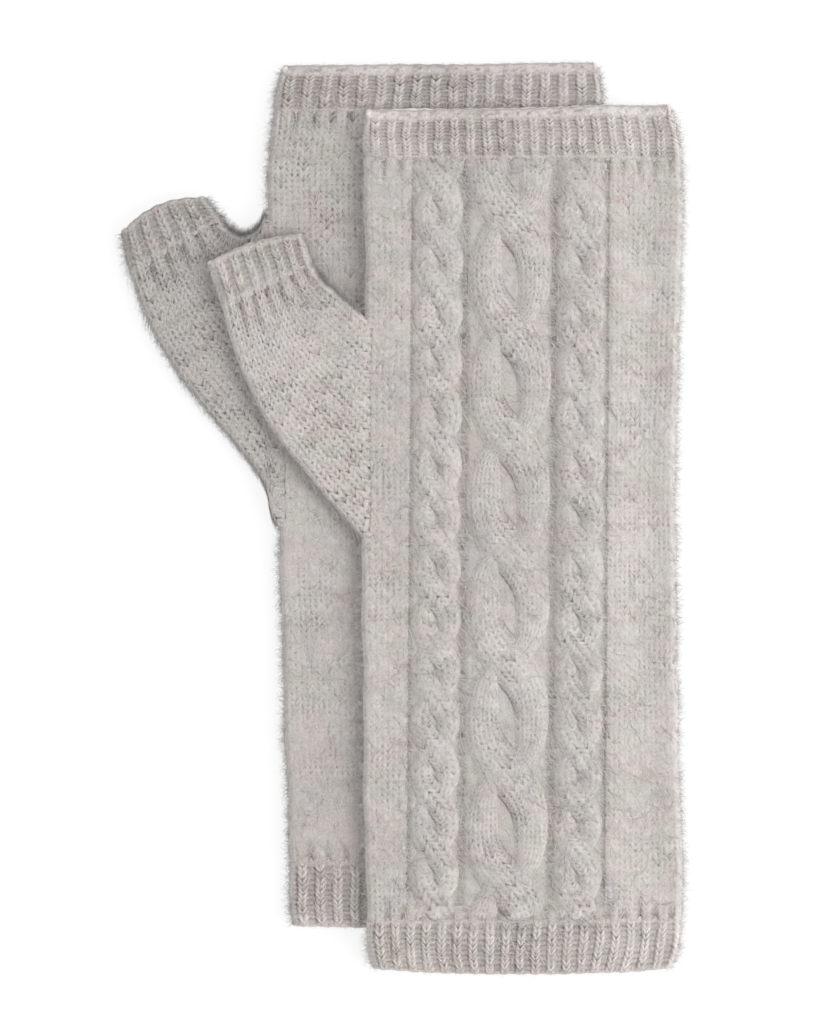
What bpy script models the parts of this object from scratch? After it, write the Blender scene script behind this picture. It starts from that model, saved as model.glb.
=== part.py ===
"""A pair of knitted fingerless arm warmers, laid flat with one on top of the other.

Metres, +Z up, fingers towards +Y, thumbs towards -X. The left-hand one lies palm up on the
ground, and the right-hand one lies across it with the back of the hand up, so that its three
cables show. Each is knitted in the round, so each piece is a flattened tube: an outer skin,
a plain inner skin, and the rims that close the wall between them.
"""

from collections import namedtuple

import bmesh
import bpy
import numpy as np

MM = 0.001

# Cloth, in millimetres
WALL = 2.0  # thickness of one layer of knitting
HOLLOW = 0.5  # between the two layers of a tube that lies flat
SEAM = 0.3  # between pieces that are knitted on to each other
ROUND = WALL + HOLLOW / 2  # outer radius of a side fold
FOLD_STEPS = 4  # flats round a side fold
INNER_STEP = 3  # the plain inner skin has every third row of the outer one
INNER_COLUMN_STEP = 6  # and every sixth column of a hand tube's top layer

# Flats across the layers of a hand tube: beside the cable panel, over a top layer without one,
# and in stretches of the underside, each up to a share of the width. They are finest where the
# upper one comes down off the lower one
LEFT_PARTS, RIGHT_PARTS, PLAIN_PARTS = 3, 5, 10
UNDER_STRETCHES = [(0.45, 2), (0.72, 2), (1.0, 7)]

# Rows and flats of the small pieces
CUFF_ROWS = {"arm_rib": 7, "finger_rib": 5, "thumb_rib": 5}
CUFF_UNDER_PARTS = 6  # at least this many across a cuff's underside
THUMB_ROWS, THUMB_PARTS = 13, 6
THUMB_SEAM = 0.002  # half the gap before the thumb's rib, as a share of the thumb's length

# Ribbing
RIB_DEPTH = 0.8
RIB_POINTS = 4  # columns to each rib
EASE = 3.0  # relief dies out over this distance from a side fold

# How the upper one is laid on the lower one
DRAPE = 15.0  # it comes down to the ground over this distance
CABLED_STEP, PLAIN_STEP = 2.9, 8.0  # between the rows of a hand tube with cables, and without

Station = namedtuple("Station", "along left right")
ThumbRow = namedtuple("ThumbRow", "t outer_x outer_y inner_x inner_y")
Cable = namedtuple("Cable", "centre swing half_width height pitch crossing tightness columns")
# A rim's form: lap is how far the top layer is held back from the bottom one, bow how far its
# middle stands out beyond its ends, and tilt how far its near end is held back
Rim = namedtuple("Rim", "lap bow tilt")
Glove = namedtuple(
    "Glove",
    "side place_x place_y length arm_rib finger_rib ribs cabled stations"
    " slot_from slot_to thumb thumb_rib_from thumb_ribs rims",
)

# Side edges of the hand and arm, from the arm rim: distance along, left and right edge
RIGHT_STATIONS = [
    Station(0.0, -42.0, 41.8),
    Station(5.4, -43.7, 43.9),
    Station(10.0, -44.3, 44.8),
    Station(22.6, -44.4, 45.6),
    Station(36.0, -44.8, 45.4),
    Station(55.0, -45.1, 44.4),
    Station(78.0, -45.4, 44.3),
    Station(100.0, -45.6, 43.6),
    Station(123.0, -45.6, 43.5),
    Station(155.0, -45.3, 43.6),
    Station(187.5, -45.0, 44.7),
    Station(208.0, -44.8, 45.3),
    Station(228.0, -45.2, 45.3),
    Station(246.5, -45.6, 43.7),
]
LEFT_STATIONS = [
    Station(0.0, -43.4, 43.6),
    Station(6.0, -44.3, 44.8),
    Station(20.0, -45.0, 45.2),
    Station(37.0, -45.2, 45.2),
    Station(54.0, -46.0, 45.0),
    Station(93.0, -47.3, 44.6),
    Station(113.0, -47.7, 44.5),
    Station(121.0, -48.0, 44.5),
    Station(195.0, -50.9, 44.4),
    Station(203.0, -51.2, 44.4),
    Station(212.0, -51.0, 44.4),
    Station(227.0, -49.8, 44.5),
    Station(246.0, -47.9, 44.6),
]

# Thumb, from the slot to its tip: its outer edge and its inner edge on the glove's plan
RIGHT_THUMB = [
    ThumbRow(0.05, -45.9, 123.6, -45.8, 187.0),
    ThumbRow(0.20, -54.6, 133.6, -49.2, 190.2),
    ThumbRow(0.35, -62.8, 143.5, -52.1, 192.6),
    ThumbRow(0.50, -70.8, 153.7, -54.4, 194.6),
    ThumbRow(0.65, -77.3, 165.3, -56.4, 196.6),
    ThumbRow(0.80, -82.4, 178.3, -58.2, 199.0),
    ThumbRow(0.88, -85.6, 189.6, -59.6, 201.6),
    ThumbRow(1.00, -89.7, 201.0, -62.0, 209.6),
]
LEFT_THUMB = [
    ThumbRow(0.05, -48.1, 114.0, -51.6, 202.7),
    ThumbRow(0.20, -51.4, 125.4, -54.1, 200.4),
    ThumbRow(0.35, -58.9, 136.0, -56.0, 197.5),
    ThumbRow(0.50, -68.6, 147.5, -58.2, 196.7),
    ThumbRow(0.65, -77.5, 159.4, -60.1, 197.4),
    ThumbRow(0.80, -85.8, 174.9, -62.3, 199.2),
    ThumbRow(0.88, -89.8, 186.4, -63.9, 201.7),
    ThumbRow(1.00, -92.5, 197.2, -67.9, 207.6),
]

# The cable panel: a rope cable between two finer ones, with a purl gutter on each side
PANEL_TOP, PANEL_BOTTOM = -3.4, -5.2  # its middle at the fingers and at the arm
CABLES = [
    Cable(-20.3, 2.9, 3.7, 1.0, 14.42, 6.6, 1.2, 8),
    Cable(0.0, 5.8, 6.4, 1.2, 31.38, 25.9, 1.5, 14),
    Cable(20.1, 2.9, 3.7, 1.0, 14.42, 6.1, 1.2, 8),
]
OVER = 0.25  # how far the front strand stands over the back one at a crossing
GUTTERS = [-28.2, -12.7, 12.7, 28.2]
GUTTER_HALF, GUTTER_DEPTH = 0.7, 0.6

GLOVES = [
    Glove(
        side="left", place_x=12.533, place_y=-116.131,
        length=245.4, arm_rib=18.0, finger_rib=13.3, ribs=17, cabled=False,
        stations=LEFT_STATIONS, slot_from=113.2, slot_to=203.2,
        thumb=LEFT_THUMB, thumb_rib_from=0.88, thumb_ribs=5,
        rims={"arm_rib": Rim(0, 0.5, 0), "finger_rib": Rim(2.6, 0, 0.8), "thumb_rib": Rim(0.6, 2.6, 0)},
    ),
    Glove(
        side="right", place_x=34.533, place_y=-129.231,
        length=246.5, arm_rib=14.8, finger_rib=15.0, ribs=19, cabled=True,
        stations=RIGHT_STATIONS, slot_from=123.1, slot_to=187.3,
        thumb=RIGHT_THUMB, thumb_rib_from=0.88, thumb_ribs=6,
        rims={"arm_rib": Rim(0, 1.4, 0), "finger_rib": Rim(2.6, 0, 2.0), "thumb_rib": Rim(0.6, 1.5, 0)},
    ),
]

COLOURS = {  # display colours of each kind of piece
    "hand_tube": (0.76, 0.74, 0.73),
    "thumb_tube": (0.73, 0.71, 0.69),
    "arm_rib": (0.72, 0.69, 0.68),
    "finger_rib": (0.73, 0.70, 0.69),
    "thumb_rib": (0.71, 0.68, 0.67),
}


def smooth_rows(rows, at):
    """Every column of a table at the given stations, on a smooth curve through its rows."""
    table = np.array(rows, float)
    station = table[:, 0]
    slope = np.gradient(table, station, axis=0)
    k = np.clip(np.searchsorted(station, at, side="right") - 1, 0, len(station) - 2)
    step = (station[k + 1] - station[k])[:, None]
    f = ((at - station[k])[:, None] / step).clip(0, 1)
    start, end = 2 * f**3 - 3 * f**2 + 1, 3 * f**2 - 2 * f**3
    return (
        start * table[k]
        + end * table[k + 1]
        + step * (f**3 - 2 * f**2 + f) * slope[k]
        + step * (f**3 - f**2) * slope[k + 1]
    )


def edges(stations, along):
    """The left and the right edge of a hand tube at each distance along it."""
    return smooth_rows(stations, np.atleast_1d(np.asarray(along, float)).ravel())[:, 1:].T


def fall(distance):
    """1 before an edge, and down smoothly to 0 one drape past it."""
    f = (distance / DRAPE).clip(0, 1)
    return 1 - f * f * (3 - 2 * f)


def ground(x, y):
    """The lower glove lies on the ground."""
    return np.zeros_like(x)


def on_lower_glove(x, y):
    """Height of what the upper glove lies on: the lower glove, and past its edges the ground."""
    lower = GLOVES[0]
    right_edge = edges(lower.stations, y - lower.place_y)[1].reshape(y.shape) + lower.place_x
    return (2 * ROUND + SEAM) * fall(x - right_edge) * fall(lower.place_y - y)


def strand(x, centre, half_width, height):
    """Section of one strand, a half ellipse over its centre."""
    return height * np.sqrt((1 - ((x - centre) / half_width) ** 2).clip(0))


def panel_middle(along, length):
    return PANEL_BOTTOM + (PANEL_TOP - PANEL_BOTTOM) * along / length


def cable_relief(x, along):
    """Height over the plain knitting, x across from the panel's middle.

    Two strands swing from side to side of a cable. The one that leans to the left on its way
    to the fingers is in front where they cross.
    """
    relief = np.zeros_like(x)
    for cable in CABLES:
        turn = np.pi * (along - cable.crossing) / cable.pitch
        swing = np.tanh(cable.tightness * np.sin(turn)) / np.tanh(cable.tightness)
        for way in (-1, 1):
            centre = cable.centre + way * cable.swing * swing
            top = strand(x, centre, cable.half_width, cable.height)
            top = top - way * OVER * np.cos(turn) * (top > 0)
            relief = np.maximum(relief, top)
    for gutter in GUTTERS:
        relief = np.where(np.abs(x - gutter) < GUTTER_HALF / 2, -GUTTER_DEPTH, relief)
    return relief


def panel_columns():
    """Columns across the cable panel, from its middle: each gutter's bottom and sides, and
    evenly across each cable."""
    columns = [GUTTERS[0] - GUTTER_HALF, GUTTERS[0]]
    for cable, gutter, after in zip(CABLES, GUTTERS, GUTTERS[1:]):
        columns += list(np.linspace(gutter + GUTTER_HALF, after - GUTTER_HALF, cable.columns + 1))
        columns.append(after)
    return np.array(columns + [GUTTERS[-1] + GUTTER_HALF])


def spread(start, end, parts):
    """parts places from start to just before end, each row of a column at once."""
    return start[:, None] + (end - start)[:, None] * np.arange(parts) / parts


def rows_between(stops, step):
    """Rows in even steps between stops, a whole number of inner rows for each stretch."""
    rows = []
    for start, end in zip(stops, stops[1:]):
        count = INNER_STEP * max(1, round((end - start) / step / INNER_STEP))
        rows += list(np.linspace(start, end, count, endpoint=False))
    return np.array(rows + [stops[-1]])


def section(top, bottom):
    """Columns round a flat tube.

    top and bottom hold, for each row, places across from one fold's centre to the other's.
    Gives the places and the angle at which each column stands off its place.
    """
    rows = len(top)
    turn = np.pi * np.arange(1, FOLD_STEPS) / FOLD_STEPS
    near, far = np.repeat(top[:, :1], FOLD_STEPS - 1, 1), np.repeat(top[:, -1:], FOLD_STEPS - 1, 1)
    place = np.hstack([top, far, bottom[:, ::-1], near])
    up, down = np.full(top.shape[1], np.pi / 2), np.full(bottom.shape[1], -np.pi / 2)
    angle = np.concatenate([up, np.pi / 2 - turn, down, -np.pi / 2 - turn])
    return place, np.repeat(angle[None], rows, 0)


def skin(low, high, place, angle, radius, relief, ahead, rest, shift):
    """Points of one skin. low and high are a row's two ends on plan, folds included, and
    ahead is how far each point is moved on towards the next row."""
    across = high - low
    across /= np.linalg.norm(across, axis=1)[:, None]
    forward = np.stack([-across[:, 1], across[:, 0]], 1)
    out = (place + radius * np.cos(angle))[:, :, None]
    plan = low[:, None] + across[:, None] * out
    plan = plan + forward[:, None] * np.atleast_2d(ahead)[:, :, None] + np.array(shift)
    height = rest(plan[:, :, 0], plan[:, :, 1]) + ROUND + radius * np.sin(angle) + relief
    return np.dstack([plan, height])


def bridge(loop, outer, inner):
    """Faces of the wall's edge, between a loop of the outer skin and the same loop of the
    inner one, which has only some of its points."""
    faces = []
    count = len(loop)
    marks = [k for k, key in enumerate(loop) if key in inner]
    for a, b in zip(marks, marks[1:] + [marks[0] + count]):
        here, there = inner[loop[a]], inner[loop[b % count]]
        middle = (a + b) // 2
        for k in range(a, b):
            near = here if k < middle else there
            faces.append((outer[loop[k % count]], outer[loop[(k + 1) % count]], near))
        faces.append((outer[loop[middle % count]], there, here))
    return faces


def slot_loop(first_row, last_row, first_column, columns):
    """Round the slot in the left fold, whose sides are first_column and column 0."""
    fold = range(first_column, columns)
    return (
        [(r, 0) for r in range(first_row, last_row)]
        + [(last_row, c) for c in [0, *reversed(fold)]][:-1]
        + [(r, first_column) for r in range(last_row, first_row, -1)]
        + [(first_row, c) for c in fold]
    )


def wall(name, outer, inner, inner_rows, inner_columns, slot=None):
    """One closed mesh from an outer skin and the coarser grid of the inner one. slot holds
    the first and last row of the thumb's slot, and its first column."""
    rows, columns = outer.shape[:2]
    points = list(outer.reshape(-1, 3))
    ids = {(r, c): r * columns + c for r in range(rows) for c in range(columns)}
    inside = {}
    for r in inner_rows:
        for c in inner_columns:
            inside[r, c] = len(points)
            points.append(inner[r, c])

    def open_cell(r, c):
        return slot is not None and slot[0] <= r < slot[1] and c >= slot[2]

    faces = []
    for grid, at_rows, at_columns in (
        (ids, range(rows), range(columns)),
        (inside, inner_rows, inner_columns),
    ):
        next_columns = [*at_columns[1:], at_columns[0]]
        for r, after in zip(at_rows, at_rows[1:]):
            for c, beside in zip(at_columns, next_columns):
                if not open_cell(r, c):
                    faces.append((grid[r, c], grid[r, beside], grid[after, beside], grid[after, c]))
    loops = [[(r, c) for c in range(columns)] for r in (0, rows - 1)]
    if slot is not None:
        loops.append(slot_loop(*slot, columns))
    for loop in loops:
        faces += bridge(loop, ids, inside)
    return add_mesh(name, np.array(points) * MM, faces)


def add_mesh(name, points, faces):
    """A smooth-shaded object from points in metres, without the points that no face uses."""
    shape = bmesh.new()
    corners = [shape.verts.new(point) for point in points]
    for face in faces:
        shape.faces.new([corners[k] for k in face])
    bmesh.ops.delete(shape, geom=[v for v in shape.verts if not v.link_faces], context="VERTS")
    bmesh.ops.recalc_face_normals(shape, faces=shape.faces)
    mesh = bpy.data.meshes.new(name)
    shape.to_mesh(mesh)
    shape.free()
    mesh.shade_smooth()
    mesh.set_sharp_from_angle(angle=np.radians(50))
    piece = bpy.data.objects.new(name, mesh)
    collection.objects.link(piece)
    piece.data.materials.append(wool(name))
    return piece


def wool(name):
    """Rough, matt wool in the colour of that kind of piece."""
    material = bpy.data.materials.new(f"{name}_wool")
    material.use_nodes = True
    shader = material.node_tree.nodes["Principled BSDF"]
    colour = np.array(COLOURS[name.split("_", 1)[1]]) ** 2.2
    shader.inputs["Base Color"].default_value = (*colour, 1)
    shader.inputs["Roughness"].default_value = 0.95
    shader.inputs["Metallic"].default_value = 0.0
    return material


def inner_picks(count, keep=()):
    """Rows of the inner skin: every few rows of the outer one, the last, and those in keep."""
    return sorted({*range(0, count, INNER_STEP), count - 1, *keep})


def rib_relief(top_place, ribs):
    """Valleys between the ribs of the top layer, which die out at the side folds."""
    start, width = top_place[:, :1], top_place[:, -1:] - top_place[:, :1]
    part = (top_place - start) / width
    from_fold = np.minimum(part, 1 - part) * width
    valley = 0.5 + 0.5 * np.cos(2 * np.pi * ribs * part)
    return -RIB_DEPTH * valley * (from_fold / EASE).clip(0, 1)


def rim_shape(rim, place, angle, width, part):
    """How far a cuff's points stand ahead, where part is 0 at its seam and 1 at its rim."""
    across = place / width[:, None]
    ahead = 4 * rim.bow * across * (1 - across) - rim.tilt * (1 - across**2)
    return part[:, None] * (ahead - rim.lap * (1 + np.sin(angle)) / 2)


def ribbed_tube(name, low, high, ribs, rim, part, rest, shift):
    """A cuff with ribs on its top layer. part runs to 1 at its rim, or to -1 at an arm's rim,
    which points back."""
    width = np.linalg.norm(high - low, axis=1)
    start, end = np.full(len(low), ROUND), width - ROUND
    top = np.hstack([spread(start, end, ribs * RIB_POINTS), end[:, None]])
    bottom_parts = max(CUFF_UNDER_PARTS, ribs)
    bottom = np.hstack([spread(start, end, bottom_parts), end[:, None]])
    place, angle = section(top, bottom)
    relief = np.zeros_like(place)
    relief[:, : top.shape[1]] = rib_relief(top, ribs)
    ahead = rim_shape(rim, place, angle, width, part)
    outer = skin(low, high, place, angle, ROUND, relief, ahead, rest, shift)
    inner = skin(low, high, place, angle, HOLLOW / 2, 0, ahead, rest, shift)
    first_bottom = top.shape[1] + FOLD_STEPS - 1
    columns = [*range(0, top.shape[1], RIB_POINTS), top.shape[1] + 1]
    columns += [*range(first_bottom, first_bottom + bottom_parts + 1), place.shape[1] - 2]
    return wall(name, outer, inner, [*range(len(low))], columns)


def cuff(glove, kind):
    """The arm's or the fingers' rib cuff of a glove."""
    rim, rows = glove.rims[kind], CUFF_ROWS[kind]
    if kind == "arm_rib":
        along = np.linspace(rim.bow, glove.arm_rib - SEAM / 2, rows)
        part = np.linspace(-1, 0, rows)
    else:
        along = np.linspace(glove.length - glove.finger_rib + SEAM / 2, glove.length, rows)
        part = np.linspace(0, 1, rows)
    left, right = edges(glove.stations, along)
    low, high = np.stack([left, along], 1), np.stack([right, along], 1)
    return ribbed_tube(f"{glove.side}_{kind}", low, high, glove.ribs, rim, part, *resting(glove))


def resting(glove):
    """What a glove lies on, and where its arm rim's middle is on the ground."""
    return (on_lower_glove if glove.side == "right" else ground), (glove.place_x, glove.place_y)


def hand_tube(glove):
    """The arm and hand, from one cuff to the other, with the thumb's slot in the left fold."""
    first, last = glove.arm_rib + SEAM / 2, glove.length - glove.finger_rib - SEAM / 2
    step = CABLED_STEP if glove.cabled else PLAIN_STEP
    along = rows_between([first, glove.slot_from, glove.slot_to, last], step)
    left, right = edges(glove.stations, along)
    start, width = np.full(len(along), ROUND), right - left
    if glove.cabled:
        middle = panel_middle(along, glove.length) - left
        panel = middle[:, None] + panel_columns()
        beside = spread(panel[:, -1], width - ROUND, RIGHT_PARTS)[:, 1:]
        top = [spread(start, panel[:, 0], LEFT_PARTS), panel, beside]
    else:
        top = [spread(start, width - ROUND, PLAIN_PARTS)]
    top = np.hstack([*top, (width - ROUND)[:, None]])
    bottom, stop = [], start
    for share, parts in UNDER_STRETCHES:
        end = np.minimum(width * share, width - ROUND)
        bottom.append(spread(stop, end, parts))
        stop = end
    bottom = np.hstack([*bottom, stop[:, None]])
    place, angle = section(top, bottom)
    relief = np.zeros_like(place)
    if glove.cabled:
        ends = np.minimum(along - first, last - along)
        relief[:, : top.shape[1]] = cable_relief(top - middle[:, None], along[:, None])
        relief *= (ends / EASE).clip(0, 1)[:, None]
    low, high = np.stack([left, along], 1), np.stack([right, along], 1)
    how = (place, angle)
    rest, shift = resting(glove)
    outer = skin(low, high, *how, ROUND, relief, 0, rest, shift)
    inner = skin(low, high, *how, HOLLOW / 2, 0, 0, rest, shift)
    first_bottom = top.shape[1] + FOLD_STEPS - 1
    after_bottom = first_bottom + bottom.shape[1]
    plain = range(top.shape[1] - RIGHT_PARTS - 1, top.shape[1])
    columns = sorted({*range(0, top.shape[1], INNER_COLUMN_STEP), *plain, top.shape[1] + 1})
    columns += [*range(first_bottom, after_bottom), place.shape[1] - 2]
    slot_rows = [int(np.argmin(np.abs(along - at))) for at in (glove.slot_from, glove.slot_to)]
    inner_rows = inner_picks(len(along), slot_rows)
    slot = (*slot_rows, after_bottom - 1)
    return wall(f"{glove.side}_hand_tube", outer, inner, inner_rows, columns, slot)


def thumb_rails(glove, t):
    """The thumb's outer and inner edge on plan. It starts just inside the slot."""
    slot = np.array([glove.slot_from, glove.slot_to])
    beside = edges(glove.stations, slot)[0] + ROUND - SEAM
    base = ThumbRow(0.0, beside[0], slot[0] + SEAM, beside[1], slot[1] - SEAM)
    rows = smooth_rows([base, *glove.thumb], t)
    return rows[:, 1:3], rows[:, 3:5]


def thumb_pieces(glove):
    """The thumb's tube, and the rib at its tip."""
    split = glove.thumb_rib_from
    rest, shift = resting(glove)
    low, high = thumb_rails(glove, np.linspace(0, split - THUMB_SEAM, THUMB_ROWS))
    width = np.linalg.norm(high - low, axis=1)
    start = np.full(len(low), ROUND)
    flat = np.hstack([spread(start, width - ROUND, THUMB_PARTS), (width - ROUND)[:, None]])
    place, angle = section(flat, flat)
    outer = skin(low, high, place, angle, ROUND, 0, 0, rest, shift)
    inner = skin(low, high, place, angle, HOLLOW / 2, 0, 0, rest, shift)
    columns = [*range(place.shape[1])][::2]
    wall(f"{glove.side}_thumb_tube", outer, inner, inner_picks(len(low)), columns)

    rows = CUFF_ROWS["thumb_rib"]
    low, high = thumb_rails(glove, np.linspace(split + THUMB_SEAM, 1, rows))
    rim, part = glove.rims["thumb_rib"], np.linspace(0, 1, rows)
    ribbed_tube(f"{glove.side}_thumb_rib", low, high, glove.thumb_ribs, rim, part, rest, shift)


for thing in list(bpy.data.objects):
    bpy.data.objects.remove(thing, do_unlink=True)
collection = bpy.data.collections.new("arm_warmers")
bpy.context.scene.collection.children.link(collection)
for each in GLOVES:
    cuff(each, "arm_rib")
    hand_tube(each)
    cuff(each, "finger_rib")
    thumb_pieces(each)
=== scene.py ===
import bpy
import numpy as np
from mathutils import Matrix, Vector


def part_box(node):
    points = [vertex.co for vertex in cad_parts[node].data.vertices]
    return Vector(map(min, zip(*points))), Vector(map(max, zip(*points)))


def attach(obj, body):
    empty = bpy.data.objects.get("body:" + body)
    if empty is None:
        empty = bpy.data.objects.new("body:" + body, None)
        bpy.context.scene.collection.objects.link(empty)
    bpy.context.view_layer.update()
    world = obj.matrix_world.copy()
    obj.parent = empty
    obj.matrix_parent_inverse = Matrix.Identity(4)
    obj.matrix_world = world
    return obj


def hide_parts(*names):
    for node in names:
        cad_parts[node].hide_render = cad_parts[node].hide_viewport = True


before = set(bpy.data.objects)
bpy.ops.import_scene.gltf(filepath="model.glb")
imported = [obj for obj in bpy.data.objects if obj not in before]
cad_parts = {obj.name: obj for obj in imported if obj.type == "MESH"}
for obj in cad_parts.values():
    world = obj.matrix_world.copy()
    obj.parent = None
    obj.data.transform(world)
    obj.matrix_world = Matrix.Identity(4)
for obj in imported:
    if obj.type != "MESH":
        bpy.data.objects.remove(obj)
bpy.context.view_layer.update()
mm = 0.001
random = np.random.default_rng(20)

# The cloth, in millimetres
cloth = {
    "wall": 2.0,  # one layer of knitting
    "hollow": 0.5,  # between the two layers of a tube
    "seam": 0.3,  # between the solids of two pieces
    "course": 1.7,  # height of one row of plain stitches
    "ribCourse": 1.5,
    "lean": 1.15,  # a stitch's leg rises this many courses over half its width
    "stitchDepth": 0.45,
    "ribDepth": 0.5,
    "ribShare": 0.6,  # a rib's share of the way from it to the next one
    "wave": 0.22,  # soft unevenness of the laid cloth
    "drape": 15.0,  # the upper one comes down to the floor over this distance
}
foldRadius = cloth["wall"] + cloth["hollow"] / 2

# Side edges from the arm rim on: distance along, left, right. Thumb rows: share of the way from the
# slot to the tip, outer edge x and y, inner edge x and y
lowerGlove = {
    "side": "left",
    "edges": [
        (0.0, -43.2, 43.6), (6.0, -44.0, 44.8), (20.0, -44.6, 45.2), (37.0, -44.7, 45.2),
        (54.0, -45.5, 45.0), (93.0, -46.8, 44.6), (113.0, -47.2, 44.5), (121.0, -47.5, 44.5),
        (195.0, -50.4, 44.4), (203.0, -50.6, 44.4), (212.0, -50.4, 44.4), (227.0, -49.2, 44.5),
        (246.0, -47.5, 44.6),
    ],
    "thumb": [
        (0.05, -48.1, 114.0, -50.5, 202.0), (0.20, -51.4, 125.4, -52.6, 199.4),
        (0.35, -58.9, 136.0, -55.2, 197.2), (0.50, -68.6, 147.5, -57.9, 196.4),
        (0.65, -77.5, 159.4, -60.1, 197.4), (0.80, -85.8, 174.9, -62.3, 199.2),
        (0.88, -89.8, 186.4, -63.9, 201.7), (1.00, -92.5, 197.2, -67.9, 207.6),
    ],
    "slot": (113.2, 203.2),
    "length": 245.4, "armRib": 18.0, "fingerRib": 13.3, "ribs": 17,
    "thumbRibFrom": 0.88, "thumbRibs": 5,
    "rims": {"arm": (0, 0.5, 0), "finger": (2.6, 0, 0.8), "thumb": (0.6, 2.6, 0)},  # lap, bow, tilt
}
upperGlove = {
    "side": "right",
    "edges": [
        (0.0, -42.0, 41.8), (5.4, -43.7, 43.9), (10.0, -44.3, 44.8), (22.6, -44.4, 45.6),
        (36.0, -44.8, 45.4), (55.0, -45.1, 44.4), (78.0, -45.4, 44.3), (100.0, -45.6, 43.6),
        (123.0, -45.6, 43.5), (155.0, -45.3, 43.6), (187.5, -45.0, 44.7), (208.0, -44.8, 45.3),
        (228.0, -45.2, 45.3), (246.5, -45.6, 43.7),
    ],
    "thumb": [
        (0.05, -45.9, 123.6, -45.8, 187.0), (0.20, -54.6, 133.6, -49.2, 190.2),
        (0.35, -62.8, 143.5, -52.1, 192.6), (0.50, -70.8, 153.7, -54.4, 194.6),
        (0.65, -77.3, 165.3, -56.4, 196.6), (0.80, -82.4, 178.3, -58.2, 199.0),
        (0.88, -85.6, 189.6, -59.6, 201.6), (1.00, -89.7, 201.0, -62.0, 209.6),
    ],
    "slot": (123.1, 187.3),
    "length": 246.5, "armRib": 14.8, "fingerRib": 15.0, "ribs": 19,
    "thumbRibFrom": 0.88, "thumbRibs": 6,
    "rims": {"arm": (0, 1.4, 0), "finger": (2.6, 0, 2.0), "thumb": (0.6, 1.5, 0)},
}

# The cable panel of the upper glove. Each cable has two strands, which swing to either side of its
# centre and cross once every pitch. The one that slants up to the left lies in front and swings
# over slowly. The other one turns under it fast
cablePanel = {
    "middle": (-5.2, -3.4),  # at the arm rim and at the finger rim
    "gutters": (-28.2, -12.7, 12.7, 28.2), "gutterHalf": 0.65, "gutterDepth": 0.35,
    "groundDepth": 0.1, "edgeDepth": 0.4,
    "ends": 3.0,  # past the cuffs, hairs lie as on plain knitting over this distance
    "over": 0.25, "under": 0.45,  # how far the front strand rises and the back one sinks
    "spread": 0.3,  # and how much wider it is at the crossing, or narrower if it is the back one
    "cables": [
        {"centre": -20.3, "swing": 3.6, "half": 3.6, "height": 1.05, "pitch": 14.42, "first": 6.6,
         "front": 0.5, "back": 1.8, "wales": 2},
        {"centre": 0.0, "swing": 6.9, "half": 5.1, "height": 1.2, "pitch": 31.38, "first": 25.9,
         "front": 1.0, "back": 2.0, "wales": 4},
        {"centre": 20.1, "swing": 3.6, "half": 3.6, "height": 1.05, "pitch": 14.42, "first": 6.1,
         "front": 0.5, "back": 1.8, "wales": 2},
    ],
}


# Cubic curve through the rows of a table, with the mean slope of its neighbours at each row
def smoothRows(rows, at):
    table = np.array(rows, float)
    station = table[:, 0]
    slope = np.gradient(table, station, axis=0)
    flat = np.ravel(at)
    k = np.clip(np.searchsorted(station, flat, side="right") - 1, 0, len(station) - 2)
    step = (station[k + 1] - station[k])[:, None]
    f = ((flat - station[k])[:, None] / step).clip(0, 1)
    values = (
        (2 * f**3 - 3 * f**2 + 1) * table[k] + (3 * f**2 - 2 * f**3) * table[k + 1]
        + step * ((f**3 - 2 * f**2 + f) * slope[k] + (f**3 - f**2) * slope[k + 1])
    )
    return values[:, 1:].reshape(*np.shape(at), -1)


# Soft unevenness: three crossed waves of unlike length
def softWave(x, y):
    return (np.sin(x / 9.1 + y / 31) + np.sin(x / 23 - y / 13.7 + 1.3) + np.sin(y / 7.9 + 0.6)) / 3


# Smooth step of a share from 0 to 1
def eased(share):
    return share * share * (3 - 2 * share)


# Left and right edge of a glove at y: the curve through its table, and a slight wobble of two waves
def sideEdges(glove, y):
    values = smoothRows(glove["edges"], y)
    wobble = 0.16 * np.sin(y / 3.7) + 0.2 * np.sin(y / 8.9 + 2)
    return values[..., 0] - wobble, values[..., 1] + wobble * 0.8


# Straight section across the hand at y: its middle, its direction and half its flat width
def handSection(glove):
    def at(y):
        left, right = sideEdges(glove, y)
        return (left + right) / 2, y, np.ones_like(y), np.zeros_like(y), (right - left) / 2 - foldRadius
    return at


thumbLength = 72.0  # from the slot to the tip, for its hairs
thumbSlide = 2.6  # its base lies this much lower than the slot, so that its wales keep their slant


# Section of the thumb, on the line from its outer to its inner edge
def thumbSection(glove):
    slot = np.array(glove["slot"])
    beside = smoothRows(glove["edges"], slot)[:, 0] + foldRadius - cloth["seam"]
    base = (0.0, beside[0], slot[0] - thumbSlide, beside[1], slot[1] - thumbSlide)
    rows = [base, *glove["thumb"]]

    def at(t):
        outerX, outerY, innerX, innerY = np.moveaxis(smoothRows(rows, t), -1, 0)
        width = np.hypot(innerX - outerX, innerY - outerY)
        return (
            (outerX + innerX) / 2, (outerY + innerY) / 2,
            (innerX - outerX) / width, (innerY - outerY) / width, width / 2 - foldRadius,
        )
    return at


# 1 before an edge, and down smoothly to 0 one drape past it
def fall(distance):
    return 1 - eased((distance / cloth["drape"]).clip(0, 1))


# What a glove lies on: the floor, or the lower glove and the floor past its edges
def restHeight(glove, x, y):
    if glove is lowerGlove:
        return np.zeros_like(x)
    edge = smoothRows(lowerGlove["edges"], y - lowerGlove["place"][1])[..., 1] + lowerGlove["place"][0]
    return (2 * foldRadius + cloth["seam"]) * fall(x - edge) * fall(lowerGlove["place"][1] - y)


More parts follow.
